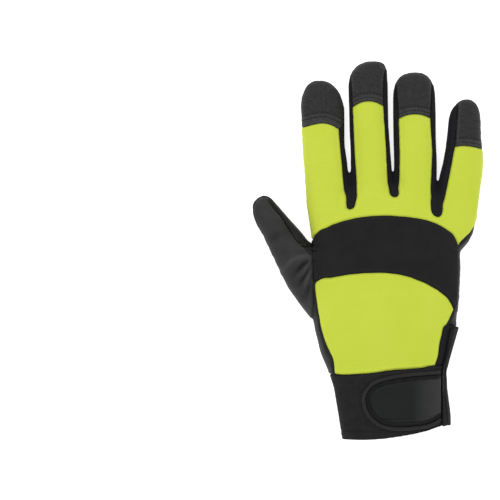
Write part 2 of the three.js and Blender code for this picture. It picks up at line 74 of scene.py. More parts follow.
# Mesh of the skin: face size, how far each solid swells to meet its neighbours, and how it is smoothed.
SKIN_VOXEL = 0.7
SKIN_SWELL = 0.4
SKIN_ROUNDS = 50
SKIN_CAP = 0.75
SKIN_FILL = 0.15
LAST_ROUNDS = 3
EASE = 0.5
TRIM_VOXEL = 0.5
TRIM_ROUNDS = 8
TRIM_CAP = 0.35
WELD = 0.001
REACH = 4.5

# Blocks that thicken the steps where the palm rises to the fingers, and the web between index and middle.
PATCHES = (
    {"low": (48.3, -5.7, 0.7), "high": (56.8, -3.8, 4.4)},
    {"low": (-15.6, 42.2, 0.7), "high": (-7, 43.9, 7.3)},
    {"low": (-15.6, 42.6, 5.4), "high": (-9.8, 50.4, 7.6)},
    {"low": (-12.6, 43, 6), "high": (-9.8, 50.4, 13)},
    {"low": (12.6, 44.2, 0.7), "high": (20.5, 45.9, 7.6)},
    {"low": (42.5, 41.2, 0.7), "high": (49.5, 43.4, 7.6)},
)

# Borders between panels: rounds that even out the distances, the furthest that a border's point moves, the
# least slope that it is measured with, and rounds that even out the line and the points beside it.
BORDER_ROUNDS = 12
BORDER_STEP = 0.5
BORDER_SLOPE = 0.4
LINE_ROUNDS = 4
BESIDE_ROUNDS = 3

# Places where a panel reaches over its neighbours: middle and half size in plan, and by how much.
ROOMS = (
    {"panel": "index_tip", "at": (-15.6, 93), "size": (4.5, 11), "wide": 3.5},
    {"panel": "index_tip", "at": (-33, 83.5), "size": (15, 5), "wide": 2.0},
    {"panel": "back_panel_lower", "at": (-33, -43), "size": (7, 25), "wide": 1.8},
    {"panel": "palm_panel", "at": (-25, -76), "size": (6, 8), "wide": 0.9},
    {"panel": "knuckle_band", "at": (-34, 12), "size": (6, 4), "wide": 1.5},
    {"panel": "back_panel_lower", "at": (-6, -81), "size": (16, 4), "wide": 1.1},
    {"panel": "cuff", "at": (46, -76), "size": (8, 5), "wide": 1.2},
    {"panel": "palm_panel", "at": (-40, 42), "size": (6, 32), "wide": 1.2},
    {"panel": "palm_panel", "at": (75, 42), "size": (6, 32), "wide": 0.8},
    {"panel": "index_middle_fourchette", "at": (-7.2, 37), "size": (2.5, 4), "wide": 0.8},
    {"panel": "back_panel_upper", "at": (-14.3, 32.5), "size": (2.5, 4), "wide": 1.2},
    {"panel": "back_panel_upper", "at": (22.3, 37.4), "size": (2.0, 2.2), "wide": 0.7},
    {"panel": "back_panel_upper", "at": (51, 27), "size": (2.5, 5), "wide": 0.9},
    {"panel": "ring_pinky_fourchette", "at": (42.3, 29), "size": (2.2, 5), "wide": 0.8},
)

# Moves in plan that bring the outline to the photograph's: where, how far round it, and by how much.
NUDGES = (
    {"at": (-69, 36), "reach": 8, "by": (0.9, -0.4)},
    {"at": (-73, 28), "reach": 8, "by": (1.5, 0)},
    {"at": (1, 121), "reach": 7, "by": (1.2, 0.3)},
    {"at": (10, 121), "reach": 5, "by": (1.2, 0.5)},
    {"at": (-47, 17), "reach": 11, "by": (0, -0.9)},
    {"at": (-38.5, 8), "reach": 7, "by": (0, -1.8)},
    {"at": (-31, 107), "reach": 7, "by": (-0.9, 0.2)},
)

# Middle lines of the gaps between fingers, from the fingertips down. The solids are spread apart there while
# the skin is drawn, and put back after, so that no face bridges a gap narrower than itself. Ease stays open.
GAPS = (
    ((-15.2, 105), (-13.3, 95), (-12.8, 75), (-11.9, 60), (-11.3, 52)),
    ((15.8, 105), (15.8, 90), (16.2, 75), (16.9, 60), (17.1, 56), (17.25, 50)),
    ((50, 88), (48.9, 72), (48.2, 60), (47.3, 50), (46.4, 41), (46.3, 33)),
)
GAP_SPREAD = 1.3
GAP_EASE = 0.2
GAP_CORE = 0.35
GAP_REACH = 11
GAP_FADE = 3
GAP_SAMPLES = 1001
HALVINGS = 24

# Seams: how deep the fabric dips into them, and the soft roll beside them.
SEAM_DIP = 0.6
DEEP_SEAMS = {
    ("thumb_back", "thumb_front"): 0.6,
    ("palm_panel", "thumb_front"): 0.9,
    ("middle_front", "palm_panel"): 1.0,
    ("palm_panel", "ring_front"): 1.0,
    ("back_panel_lower", "cuff"): 0.9,
}
SEAM_WIDTH = 0.75
ROLL_HEIGHT = 0.24
ROLL_AT = 1.7
ROLL_WIDTH = 0.9
PUCKER_HEIGHT = 0.26
PUCKER_SIZE = 3.2
PUCKER_AT = 1.5
PUCKER_WIDTH = 1.7

# Slow undulation of the worn fabric, which fades out at the seams.
SWELLS = (
    {"size": 34, "height": 0.5},
    {"size": 13, "height": 0.22},
    {"size": 6, "height": 0.07},
)
SWELL_FADE = 2

# The cuff's mouth, and the turned hem beside it.
MOUTH_REACH = 20
MOUTH_FACING = -0.55
HEM_FOLD = 5.5
HEM_DIP = 0.35
HEM_WIDTH = 0.6

# Sewing thread, and the rows of stitches on a panel at set distances from the seam to its neighbour.
THREAD = 0.42
THREAD_LIFT = 0.06
THREAD_SIDES = 6
THREAD_RINGS = ((-1, 0.35), (-0.8, 0.9), (0.8, 0.9), (1, 0.35))
STITCHES = (
    {"on": "index_tip", "beside": "back_panel_upper", "rows": (2.6, 4.4), "length": 1.5, "gap": 0.7},
    {"on": "middle_tip", "beside": "back_panel_upper", "rows": (2.6, 4.4), "length": 1.5, "gap": 0.7},
    {"on": "ring_tip", "beside": "back_panel_upper", "rows": (2.6, 4.4), "length": 1.5, "gap": 0.7},
    {"on": "pinky_tip", "beside": "back_panel_upper", "rows": (2.6, 4.4), "length": 1.5, "gap": 0.7},
    {"on": "palm_panel", "beside": "thumb_front", "rows": (1.8,), "length": 1.7, "gap": 0.6},
    {"on": "middle_front", "beside": "palm_panel", "rows": (1.5,), "length": 1.5, "gap": 0.7},
    {"on": "ring_front", "beside": "palm_panel", "rows": (1.5,), "length": 1.5, "gap": 0.7},
)
STRAP_STITCHES = {"row": 1.1, "length": 1.5, "gap": 0.6}
STITCH_AIM = 0.3
UPWARD = 0.3
ROW_DIP = 0.32
ROW_WIDTH = 0.45

# Fabric lengths laid over each piece. Girth is the height at which the sides fold over into the top.
CLOTH = "cloth"
# How far creases and rolls lift the fabric, kept on each piece: it paints shade into creases and a highlight
# onto ridges.
PAINTED_SHADING = "wear"
GIRTH = 200
GIRTHS = {"cuff_skin": 30}

# Folds along lines seen from above, pressed in where deep is positive and raised where it is negative.
# Facing is 1 for the upper side of the glove and -1 for the side it lies on. Folds fade toward their ends.
FOLDS = (
    {"name": "thumb seam", "facing": 1, "deep": 1.5, "wide": 0.6,
     "path": ((-69, 35.5), (-64, 31), (-56.5, 23.6), (-51.2, 15.5), (-47, 8.8), (-43, 4.8), (-34, -0.5))},
    {"name": "beside the thumb seam", "facing": 1, "deep": 0.6, "wide": 0.5,
     "path": ((-55, 20), (-46, 9.5), (-41, 5.5))},
    {"name": "crotch crumple", "facing": 1, "deep": 0.9, "wide": 0.7, "path": ((-45, 7), (-40.5, 7.5))},
    {"name": "crotch crumple", "facing": 1, "deep": 1.0, "wide": 0.7,
     "path": ((-42.5, 3), (-39.5, 4.2), (-35, 4))},
    {"name": "crotch crumple", "facing": 1, "deep": -0.6, "wide": 0.8,
     "path": ((-44.5, 2.5), (-39, 2.4), (-34.5, 2))},
    {"name": "first ridge", "facing": 1, "deep": -0.9, "wide": 1.6,
     "path": ((-34.5, -3), (-43, -3.5), (-50, -7), (-56, -15))},
    {"name": "first valley", "facing": 1, "deep": 0.9, "wide": 1.5,
     "path": ((-34.5, -5.5), (-42, -9), (-48, -16))},
    {"name": "second ridge", "facing": 1, "deep": -0.8, "wide": 1.3,
     "path": ((-35, -4.5), (-38.5, -9), (-42, -16))},
    {"name": "second valley", "facing": 1, "deep": 0.9, "wide": 1.4,
     "path": ((-36, -7), (-40, -15), (-45, -23))},
    {"name": "third ridge", "facing": 1, "deep": -0.5, "wide": 1.3,
     "path": ((-36, -10), (-39, -18), (-42, -27))},
    {"name": "third valley", "facing": 1, "deep": 0.6, "wide": 1.3,
     "path": ((-36, -15), (-38, -23), (-40, -31))},
    {"name": "knuckle crease", "facing": 1, "deep": 0.25, "wide": 2.4,
     "path": ((-53, 13), (-60, 9), (-66, 4))},
    {"name": "horseshoe fold", "facing": -1, "deep": 1.8, "wide": 1.5,
     "path": ((-24, -7), (-21, -21), (-18, -31), (-13, -38), (-4, -46))},
    {"name": "horseshoe fold", "facing": -1, "deep": 0.6, "wide": 2.2,
     "path": ((-17, -27), (-27, -25), (-36, -20))},
    {"name": "thumb crotch", "facing": -1, "deep": 1.1, "wide": 1.8,
     "path": ((-38, -6), (-39, -16), (-37, -30))},
    {"name": "crotch fan", "facing": -1, "deep": 0.6, "wide": 0.8, "path": ((-28, -8), (-26, -24))},
    {"name": "crotch fan", "facing": -1, "deep": 0.6, "wide": 0.8, "path": ((-31, -8), (-29, -24))},
    {"name": "crotch fan", "facing": -1, "deep": 0.6, "wide": 0.8, "path": ((-34, -10), (-32, -24))},
    {"name": "along the thumb", "facing": -1, "deep": 1.4, "wide": 2.4,
     "path": ((-55, 8), (-51, -12), (-45, -26))},
    {"name": "along the thumb", "facing": -1, "deep": 0.8, "wide": 2.0,
     "path": ((-63, 2), (-58, -14), (-50, -30))},
    {"name": "palm crease", "facing": -1, "deep": 1.0, "wide": 4.5, "path": ((58, 6), (48, -28), (38, -58))},
    {"name": "palm crease", "facing": -1, "deep": 0.7, "wide": 3.6, "path": ((-20, 2), (4, 11), (34, 16))},
    {"name": "palm crease", "facing": -1, "deep": 0.7, "wide": 3.2, "path": ((-24, 16), (-8, -6), (10, -30))},
)
FOLD_END = 0.05
FOLD_FADE = 0.6

# Folds of the trim. The welt runs round the strap's smooth face.
WELT = (
    (50, -81.7), (34, -83.7), (21.5, -85.3), (13.3, -87), (6.1, -89.5), (1.9, -92.9), (0.7, -96.3),
    (1.3, -100.5), (3.2, -105.5), (6.7, -110.1), (13.2, -110.9), (28, -110.3), (42.5, -108.4), (50, -106.5),
)
TRIM_FOLDS = {
    "strap_tab": ({"name": "welt", "facing": 1, "deep": 0.3, "wide": 0.5, "path": WELT},),
    "strap_face": ({"name": "welt", "facing": 1, "deep": 0.3, "wide": 0.5, "path": WELT},),
    "side_binding": (
        {"name": "middle groove", "facing": 1, "deep": 0.6, "wide": 0.6,
         "path": ((57, -48), (51.2, -72.5), (50.8, -96), (53, -117))},
    ),
}


class Skin:
    """A mesh of four-sided faces, held as arrays."""

    def __init__(self, points, faces, edges):
        self.points = points
        self.faces = faces
        self.edges = edges
        self.neighbours = np.bincount(edges.ravel(), minlength=len(points))

    def normals(self):
        corners = self.points[self.faces]
        facing = np.cross(corners[:, 2] - corners[:, 0], corners[:, 3] - corners[:, 1])
        total = np.empty_like(self.points)
        for axis in range(3):
            share = np.repeat(facing[:, axis], 4)
            total[:, axis] = np.bincount(self.faces.ravel(), share, len(self.points))
        return total / np.maximum(np.linalg.norm(total, axis=1, keepdims=True), 1e-12)

    def mean_beside(self, values):
        """Mean of each column of values over the neighbours of each point."""
        first, second = self.edges.T
        mean = np.empty_like(values)
        for k, column in enumerate(values.T):
            mean[:, k] = np.bincount(first, column[second], len(column))
            mean[:, k] += np.bincount(second, column[first], len(column))
        return mean / self.neighbours[:, None]

    def relax(self, weight, where=1.0):
        """Moves each point toward the mean of its neighbours."""
        away = self.mean_beside(self.points) - self.points
        self.points = self.points + weight * np.reshape(where, (-1, 1)) * away


def merged_mesh(nodes, patches=()):
    """One mesh of several solids and of the blocks that patch them."""
    shape = bmesh.new()
    for node in nodes:
        shape.from_mesh(frame["nodes"][node].data)
    bmesh.ops.remove_doubles(shape, verts=shape.verts, dist=WELD * MM)
    for patch in patches:
        low, high = np.array(patch["low"]) * MM, np.array(patch["high"]) * MM
        place = Matrix.LocRotScale(Vector((low + high) / 2), None, Vector(high - low))
        bmesh.ops.create_cube(shape, size=1, matrix=place)
    mesh = bpy.data.meshes.new("merged")
    shape.to_mesh(mesh)
    shape.free()
    return mesh


def spread_gaps(points, amount, back=False):
    """Moves points sideways from the gaps between fingers by an amount in millimetres, or back again."""
    reach = GAP_REACH * MM
    spots = np.linspace(-reach, reach, GAP_SAMPLES)
    push = amount * MM * np.tanh(spots / (GAP_CORE * MM)) * np.cos(spots / reach * math.pi / 2) ** 2
    for gap in GAPS:
        across, along = np.array(gap).T * MM
        middle = np.interp(points[:, 1], along[::-1], across[::-1])
        near = np.abs(points[:, 0] - middle) < reach
        offset = (points[:, 0] - middle)[near]
        opened = np.clip((points[near, 1] - along[-1]) / (GAP_FADE * MM), 0, 1)
        moved = offset + opened * np.interp(offset, spots, push)
        if back:
            low = np.full(len(offset), -reach)
            high = np.full(len(offset), reach)
            for _ in range(HALVINGS):
                moved = (low + high) / 2
                beyond = moved + opened * np.interp(moved, spots, push) > offset
                high = np.where(beyond, moved, high)
                low = np.where(beyond, low, moved)
        points[near, 0] = middle[near] + moved


def mesh_points(mesh, kind="co"):
    points = np.empty(len(mesh.vertices) * 3)
    mesh.vertices.foreach_get(kind, points)
    return points.reshape(-1, 3)


def push_out(mesh, distance):
    """Moves the whole surface outward."""
    mesh.update()
    points = mesh_points(mesh) + mesh_points(mesh, "normal") * distance * MM
    mesh.vertices.foreach_set("co", points.ravel())


def drawn_afresh(mesh, voxel):
    """The mesh's surface as a skin of small even faces."""
    holder = bpy.data.objects.new("holder", mesh)
    bpy.context.scene.collection.objects.link(holder)
    modifier = holder.modifiers.new("voxels", "REMESH")
    modifier.mode = "VOXEL"
    modifier.voxel_size = voxel * MM
    evaluated = holder.evaluated_get(bpy.context.evaluated_depsgraph_get())
    result = evaluated.to_mesh()
    points = mesh_points(result)
    faces = np.empty(len(result.loops), dtype=np.int64)
    result.loops.foreach_get("vertex_index", faces)
    edges = np.empty(len(result.edges) * 2, dtype=np.int64)
    result.edges.foreach_get("vertices", edges)
    evaluated.to_mesh_clear()
    bpy.data.objects.remove(holder)
    return Skin(points, faces.reshape(-1, 4), edges.reshape(-1, 2))


def smooth(skin, rounds, cap):
    """Rounds off the facets, and moves no point further than the cap."""
    start = skin.points
    for _ in range(rounds):
        skin.relax(EASE)
    moved = skin.points - start
    far = np.linalg.norm(moved, axis=1, keepdims=True)
    skin.points = start + moved * np.minimum(1, cap * MM / np.maximum(far, 1e-9))
    for _ in range(LAST_ROUNDS):
        skin.relax(EASE)


def outer_side(skin):
    """Which points lie on the outer skin, which ends at the mouth's rim, and which lie on the rim."""
    rim_top = cad_box[0].y + MOUTH_REACH * MM
    rim = (skin.points[:, 1] < rim_top) & (skin.normals()[:, 1] < MOUTH_FACING)
    kept = skin.edges[~rim[skin.edges].any(axis=1)]
    group = np.arange(len(skin.points))
    while True:
        lowest = np.minimum(group[kept[:, 0]], group[kept[:, 1]])
        joined = group.copy()
        np.minimum.at(joined, kept[:, 0], lowest)
        np.minimum.at(joined, kept[:, 1], lowest)
        joined = joined[joined]
        if np.array_equal(joined, group):
            break
        group = joined
    highest = np.argmax(skin.points[:, 2])
    return group == group[highest], rim


def solid_tree(node):
    shape = bmesh.new()
    shape.from_mesh(frame["nodes"][node].data)
    tree = BVHTree.FromBMesh(shape)
    shape.free()
    return tree


def distances(points, trees):
    """How far each point lies from each solid, up to the reach."""
    reach = REACH * MM
    table = np.full((len(points), len(trees)), reach)
    rows = points.tolist()
    for column, (node, tree) in enumerate(trees.items()):
        low, high = (np.array(corner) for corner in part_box(node))
        near = np.all((points > low - reach) & (points < high + reach), axis=1)
        for k in np.flatnonzero(near).tolist():
            spot, _, _, far = tree.find_nearest(rows[k], reach)
            if spot is not None:
                table[k, column] = far
    return table


def border_edges(faces, labels):
    """Edges that part two faces with different labels."""
    ends = np.stack([faces, np.roll(faces, -1, axis=1)], axis=2).reshape(-1, 2)
    ends.sort(axis=1)
    owners = np.repeat(labels, 4)
    order = np.lexsort((ends[:, 1], ends[:, 0]))
    ends = ends[order]
    owners = owners[order]
    shared = np.all(ends[1:] == ends[:-1], axis=1)
    return ends[1:][shared & (owners[1:] != owners[:-1])]


def settle_borders(skin, labels, far):
    """Moves the points between two panels to the middle of their seam, and evens out the line."""
    edges = border_edges(skin.faces, labels)
    border = np.unique(edges)
    one = np.full(len(skin.points), far.shape[1])
    other = np.full(len(skin.points), -1)
    np.minimum.at(one, skin.faces.ravel(), np.repeat(labels, 4))
    np.maximum.at(other, skin.faces.ravel(), np.repeat(labels, 4))
    is_border = np.zeros(len(skin.points), dtype=bool)
    is_border[border] = True
    both_ways = np.concatenate([skin.edges, skin.edges[:, ::-1]])
    here, there = both_ways[is_border[both_ways[:, 0]]].T
    lead = far[here, other[here]] - far[here, one[here]]
    rise = far[there, other[here]] - far[there, one[here]] - lead
    steps = skin.points[there] - skin.points[here]
    slope = np.empty_like(skin.points)
    for axis in range(3):
        slope[:, axis] = np.bincount(here, rise * steps[:, axis], len(slope))
    slope *= 2 / np.maximum(np.bincount(here, (steps ** 2).sum(axis=1), len(slope)), 1e-12)[:, None]
    lead = far[border, other[border]] - far[border, one[border]]
    slope = slope[border]
    steepness = np.linalg.norm(slope, axis=1)
    length = np.clip(lead / np.maximum(steepness, BORDER_SLOPE), -BORDER_STEP * MM, BORDER_STEP * MM)
    skin.points[border] -= slope / np.maximum(steepness, 1e-9)[:, None] * length[:, None]
    line = Skin(skin.points, skin.faces[:0], edges)
    line.neighbours = np.maximum(line.neighbours, 1)
    ends = (line.neighbours == 2).astype(float)
    for _ in range(LINE_ROUNDS):
        line.relax(EASE, ends)
    skin.points = line.points
    beside = np.zeros(len(skin.points))
    beside[np.unique(skin.faces[is_border[skin.faces].any(axis=1)])] = 1
    for _ in range(BESIDE_ROUNDS):
        skin.relax(EASE, beside * ~is_border)
    return border


def rough(points, size):
    """Smooth random heights between about -1 and 1, with hills of one size."""
    scaled = (points / (size * MM)).tolist()
    return np.array([noise.noise(spot) for spot in scaled])


def along_path(points, path):
    """Distance in plan of each point from a line, and how far along it the nearest spot lies, from 0 to 1."""
    path = np.array(path) * MM
    lengths = np.linalg.norm(np.diff(path, axis=0), axis=1)
    starts = np.concatenate([[0], np.cumsum(lengths)])
    best = np.full(len(points), np.inf)
    share = np.zeros(len(points))
    for k, length in enumerate(lengths):
        forward = (path[k + 1] - path[k]) / length
        offset = points[:, :2] - path[k]
        travel = np.clip(offset @ forward, 0, length)
        far = np.linalg.norm(offset - travel[:, None] * forward, axis=1)
        nearer = far < best
        best[nearer] = far[nearer]
        share[nearer] = (starts[k] + travel[nearer]) / starts[-1]
    return best, share


def bell(value, centre, width):
    return np.exp(-((value - centre) / width) ** 2)


def fold_heights(points, normals, folds):
    """How far the folds lift each point."""
    lift = np.zeros(len(points))
    for fold in folds:
        on = normals[:, 2] * fold["facing"] > 0
        far, share = along_path(points[on], fold["path"])
        fade = np.sin(math.pi * np.clip(share, FOLD_END, 1 - FOLD_END)) ** FOLD_FADE
        lift[on] -= fold["deep"] * bell(far, 0, fold["wide"] * MM) * fade
    return lift


def seam_heights(first, second, seam):
    """How far the seams pull each point in and roll it out, by its two nearest panels."""
    dips = np.full((len(SHELL), len(SHELL)), SEAM_DIP)
    for pair, dip in DEEP_SEAMS.items():
        one, other = (SHELL.index(node) for node in pair)
        dips[one, other] = dips[other, one] = dip
    roll = ROLL_HEIGHT * bell(seam, ROLL_AT, ROLL_WIDTH)
    return roll - dips[first, second] * bell(seam, 0, SEAM_WIDTH)


def hem_heights(points, rim):
    """How far the turned hem's fold pulls each point in."""
    rim_tree = KDTree(int(rim.sum()))
    for k, spot in enumerate(points[rim].tolist()):
        rim_tree.insert(spot, k)
    rim_tree.balance()
    lift = np.zeros(len(points))
    reach = (HEM_FOLD + 3 * HEM_WIDTH) * MM
    near = np.flatnonzero(points[:, 1] < points[rim, 1].max() + reach)
    for k in near.tolist():
        far = rim_tree.find(points[k])[2] / MM
        lift[k] = -HEM_DIP * bell(far, HEM_FOLD, HEM_WIDTH)
    return lift


def panel_distances(skin):
    """Distance from each point to each panel's solid, evened out, with some panels given more room."""
    far = distances(skin.points, {node: solid_tree(node) for node in SHELL})
    for _ in range(BORDER_ROUNDS):
        far = (far + skin.mean_beside(far)) / 2
    for room in ROOMS:
        offset = (skin.points[:, :2] / MM - room["at"]) / room["size"]
        here = far[:, SHELL.index(room["panel"])]
        nearness = (1 - here / (REACH * MM)) / (1 - room["wide"] / REACH)
        here -= room["wide"] * MM * nearness * np.exp(-(offset ** 4).sum(axis=1))
    return far


def nudge(points):
    """Small moves in plan that bring the outline to the photograph's."""
    for move in NUDGES:
        offset = points[:, :2] / MM - move["at"]
        share = np.exp(-(offset ** 2).sum(axis=1) / move["reach"] ** 2)
        points[:, :2] += share[:, None] * np.array(move["by"]) * MM


def row_heights(first, far):
    """How far the rows of stitches pull each point in."""
    lift = np.zeros(len(far))
    for rows in STITCHES:
        on = first == SHELL.index(rows["on"])
        beside = far[on, SHELL.index(rows["beside"])] / MM
        for level in rows["rows"]:
            lift[on] -= ROW_DIP * bell(beside, level, ROW_WIDTH)
    return lift


def shape_skin():
    """The sewn skin: its mesh, each face's panel, and for each point its distances, side, and the lift that
    paints shade into creases and a highlight onto ridges.
    """
    solids = merged_mesh(SHELL, PATCHES)
    points = mesh_points(solids)
    spread_gaps(points, GAP_SPREAD)
    solids.vertices.foreach_set("co", points.ravel())
    push_out(solids, SKIN_SWELL)
    skin = drawn_afresh(solids, SKIN_VOXEL)
    spread_gaps(skin.points, GAP_SPREAD, back=True)
    smooth(skin, SKIN_ROUNDS, SKIN_CAP)
    skin.points -= skin.normals() * (SKIN_SWELL - SKIN_FILL) * MM
    outer, rim = outer_side(skin)
    far = panel_distances(skin)
    labels = np.argmin(far[skin.faces].sum(axis=1), axis=1)
    border = settle_borders(skin, labels, far)
    order = np.argsort(far, axis=1)
    first, second = order[:, 0], order[:, 1]
    rows = np.arange(len(far))
    seam = (far[rows, second] - far[rows, first]) / MM
    seam[border] = 0
    normals = skin.normals()
    pulled = seam_heights(first, second, seam)
    pulled += fold_heights(skin.points, normals, FOLDS)
    pulled += hem_heights(skin.points, rim)
    pulled += row_heights(first, far)
    loose = PUCKER_HEIGHT * rough(skin.points, PUCKER_SIZE) * bell(seam, PUCKER_AT, PUCKER_WIDTH)
    for swell in SWELLS:
        loose += swell["height"] * rough(skin.points, swell["size"]) * (1 - bell(seam, 0, SWELL_FADE))
    lift = pulled + loose
    between = np.isin(first, [SHELL.index(node) for node in SHELL if node.endswith("fourchette")])
    lift[between] = np.minimum(lift[between], 0)
    skin.points += normals * (lift * outer * MM)[:, None]
    skin.points[:, 2] = np.maximum(skin.points[:, 2], 0)
    spread_gaps(skin.points, GAP_EASE)
    nudge(skin.points)
    return {"skin": skin, "labels": labels, "far": far / MM, "outer": outer, "wear": pulled * outer}


def cloth_map(mesh, girth):
    """Lays the fabric's own lengths over the mesh, in metres: across and round the sides, and along."""
    points = mesh_points(mesh)
    normals = mesh_points(mesh, "normal")
    height = np.maximum(0, np.minimum(points[:, 2], girth * MM - points[:, 2]))
    across = points[:, 0] + np.sign(normals[:, 0]) * height
    spots = np.stack([across, points[:, 1]], axis=1)
    corners = np.empty(len(mesh.loops), dtype=np.int64)
    mesh.loops.foreach_get("vertex_index", corners)
    layer = mesh.uv_layers.new(name=CLOTH)
    layer.uv.foreach_set("vector", spots[corners].ravel())


def placed(name, mesh):
    """The mesh as a piece of the glove, shaded smooth, with the fabric's lengths on it."""
    mesh.shade_smooth()
    cloth_map(mesh, GIRTHS.get(name, GIRTH))
    piece = bpy.data.objects.new(name, mesh)
    bpy.context.scene.collection.objects.link(piece)
    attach(piece, "root")
    return piece


def add_painted_shading(piece, lift):
    """Keeps how far creases and rolls lift the fabric, for the painted shade in creases and painted highlight
    on ridges: -1 in a crease, 1 on a ridge.
    """
    layer = piece.data.attributes.new(PAINTED_SHADING, "FLOAT", "POINT")
    layer.data.foreach_set("value", np.clip(lift, -1, 1).astype(np.float32))


def skin_piece(node, points, faces, lift):
    """The piece that stands for one solid."""
    name = f"{node}_skin"
    mesh = bpy.data.meshes.new(name)
    mesh.from_pydata(points.tolist(), [], faces.tolist())
    piece = placed(name, mesh)
    add_painted_shading(piece, lift)
    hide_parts(node)
    return piece


def panel_piece(shell, node):
    """One panel, cut from the sewn skin."""
    skin = shell["skin"]
    faces = skin.faces[shell["labels"] == SHELL.index(node)]
    used, corners = np.unique(faces, return_inverse=True)
    return skin_piece(node, skin.points[used], corners.reshape(-1, 4), shell["wear"][used])


def trim_skin(node):
    """A trim piece's mesh, and how far its folds lift each point."""
    skin = drawn_afresh(merged_mesh([node]), TRIM_VOXEL)
    smooth(skin, TRIM_ROUNDS, TRIM_CAP)
    normals = skin.normals()
    lift = fold_heights(skin.points, normals, TRIM_FOLDS.get(node, ()))
    skin.points += normals * lift[:, None] * MM
    return skin, lift


def contours(skin, faces, field, level):
    """Lines on the faces along which the field has one value, each a list of points and normals."""
    triangles = np.concatenate([faces[:, [0, 1, 2]], faces[:, [0, 2, 3]]])
    above = field > level
    mixed = above[triangles].any(axis=1) & ~above[triangles].all(axis=1)
    joins = {}
    for a, b, c in triangles[mixed].tolist():
        ends = [tuple(sorted(side)) for side in ((a, b), (b, c), (c, a)) if above[side[0]] != above[side[1]]]
        joins.setdefault(ends[0], []).append(ends[1])
        joins.setdefault(ends[1], []).append(ends[0])
    normals = skin.normals()
    lines = []
    for closed in (False, True):
        for start in sorted(joins):
            if start not in joins or (not closed and len(joins[start]) != 1):
                continue
            chain = [start]
            while True:
                onward = [end for end in joins.pop(chain[-1]) if end in joins]
                if not onward:
                    break
                chain.append(onward[0])
            first, second = np.array(chain).T
            share = ((level - field[first]) / (field[second] - field[first]))[:, None]
            spots = skin.points[first] * (1 - share) + skin.points[second] * share
            lines.append((spots, normals[first]))
    return lines


def stitch_frames(line, pitch):
    """Evenly spaced places along a line: centre, direction and normal."""
    spots, normals = line
    steps = np.linalg.norm(np.diff(spots, axis=0), axis=1)
    travelled = np.concatenate([[0], np.cumsum(steps)])
    count = int(travelled[-1] / (pitch * MM))
    middles = (np.arange(count) + 0.5) * travelled[-1] / max(count, 1)
    frames = []
    for middle in middles:
        ahead, behind = (
            np.array([np.interp(middle + shift * pitch * MM, travelled, spots[:, axis]) for axis in range(3)])
            for shift in (STITCH_AIM, -STITCH_AIM)
        )
        normal = normals[min(np.searchsorted(travelled, middle), len(normals) - 1)]
        forward = ahead - behind
        forward /= max(np.linalg.norm(forward), 1e-9)
        frames.append(((ahead + behind) / 2, forward, normal))
    return frames


def add_thread(shape, frame_of, length, thick):
    """One stitch, a short rounded length of thread half sunk in the fabric."""
    centre, forward, normal = frame_of
    sideways = np.cross(forward, normal)
    sideways /= max(np.linalg.norm(sideways), 1e-9)
    rings = []
    for along, size in THREAD_RINGS:
        ring = []
        for side in range(THREAD_SIDES):
            angle = 2 * math.pi * side / THREAD_SIDES
            spot = centre + forward * along * length / 2 * MM
            spot = spot + sideways * math.cos(angle) * size * thick / 2 * MM
            spot = spot + normal * (math.sin(angle) * size * thick / 2 + THREAD_LIFT) * MM
            ring.append(shape.verts.new(spot))
        rings.append(ring)
    for low, high in zip(rings, rings[1:]):
        for side in range(THREAD_SIDES):
            after = (side + 1) % THREAD_SIDES
            shape.faces.new((low[side], low[after], high[after], high[side]))
    shape.faces.new(rings[0][::-1])
    shape.faces.new(rings[-1])


def stitch_piece(name, lines, length, gap):
    """A piece of thread with stitches along some lines."""
    shape = bmesh.new()
    for line in lines:
        for frame_of in stitch_frames(line, length + gap):
            add_thread(shape, frame_of, length, THREAD)
    bmesh.ops.recalc_face_normals(shape, faces=shape.faces)
    mesh = bpy.data.meshes.new(name)
    shape.to_mesh(mesh)
    shape.free()
    piece = placed(name, mesh)
    return piece


def panel_stitches(shell, rows):
    """Rows of stitches on one panel, at set distances from a neighbour's seam."""
    on, beside = SHELL.index(rows["on"]), SHELL.index(rows["beside"])
    field = shell["far"][:, beside]
    skin = shell["skin"]
    faces = skin.faces[(shell["labels"] == on) & shell["outer"][skin.faces].all(axis=1)]
    lines = []
    for level in rows["rows"]:
        lines += contours(skin, faces, field, level)
    return stitch_piece(f"{rows['on']}_stitches", lines, rows["length"], rows["gap"])


# Camera straight above the photographed view's centre, which lies beside the glove.
VIEW_CENTRE = (-76.8, 0.38)
VIEW_WIDTH = 328.9
VIEW_LEVEL = 12
CAMERA_HEIGHT = 3000
SENSOR = 36

# Plain floor, sky and lamps. Places and sizes of the lamps and the floor are in metres, powers in watts.
FLOOR_SIZE = 6
FLOOR_DROP = 0.0003
FLOOR_GLOW = 0.7
SKY = 0.6
LIGHTS = (
    {"name": "key", "at": (-0.5, 0.6, 1.6), "size": 1.3, "power": 14},
    {"name": "fill", "at": (0.9, -0.5, 1.3), "size": 1.2, "power": 5},
)


def add_camera():
    data = bpy.data.cameras.new("camera")
    data.sensor_width = SENSOR
    data.lens = data.sensor_width * (CAMERA_HEIGHT - VIEW_LEVEL) / VIEW_WIDTH
    data.clip_end = 20
    camera = bpy.data.objects.new("camera", data)
    camera.location = (VIEW_CENTRE[0] * MM, VIEW_CENTRE[1] * MM, CAMERA_HEIGHT * MM)
    bpy.context.scene.collection.objects.link(camera)
    bpy.context.scene.camera = camera


def add_floor():
    bpy.ops.mesh.primitive_plane_add(size=FLOOR_SIZE, location=(0, 0, -FLOOR_DROP))
    floor = bpy.context.object
    floor.name = "floor"
    material = bpy.data.materials.new("floor")
    material.use_nodes = True
    shader = material.node_tree.nodes["Principled BSDF"]
    shader.inputs["Base Color"].default_value = (0.92, 0.92, 0.92, 1)
    shader.inputs["Roughness"].default_value = 1
    shader.inputs["Specular IOR Level"].default_value = 0
    shader.inputs["Emission Color"].default_value = (1, 1, 1, 1)
    shader.inputs["Emission Strength"].default_value = FLOOR_GLOW
    floor.data.materials.append(material)


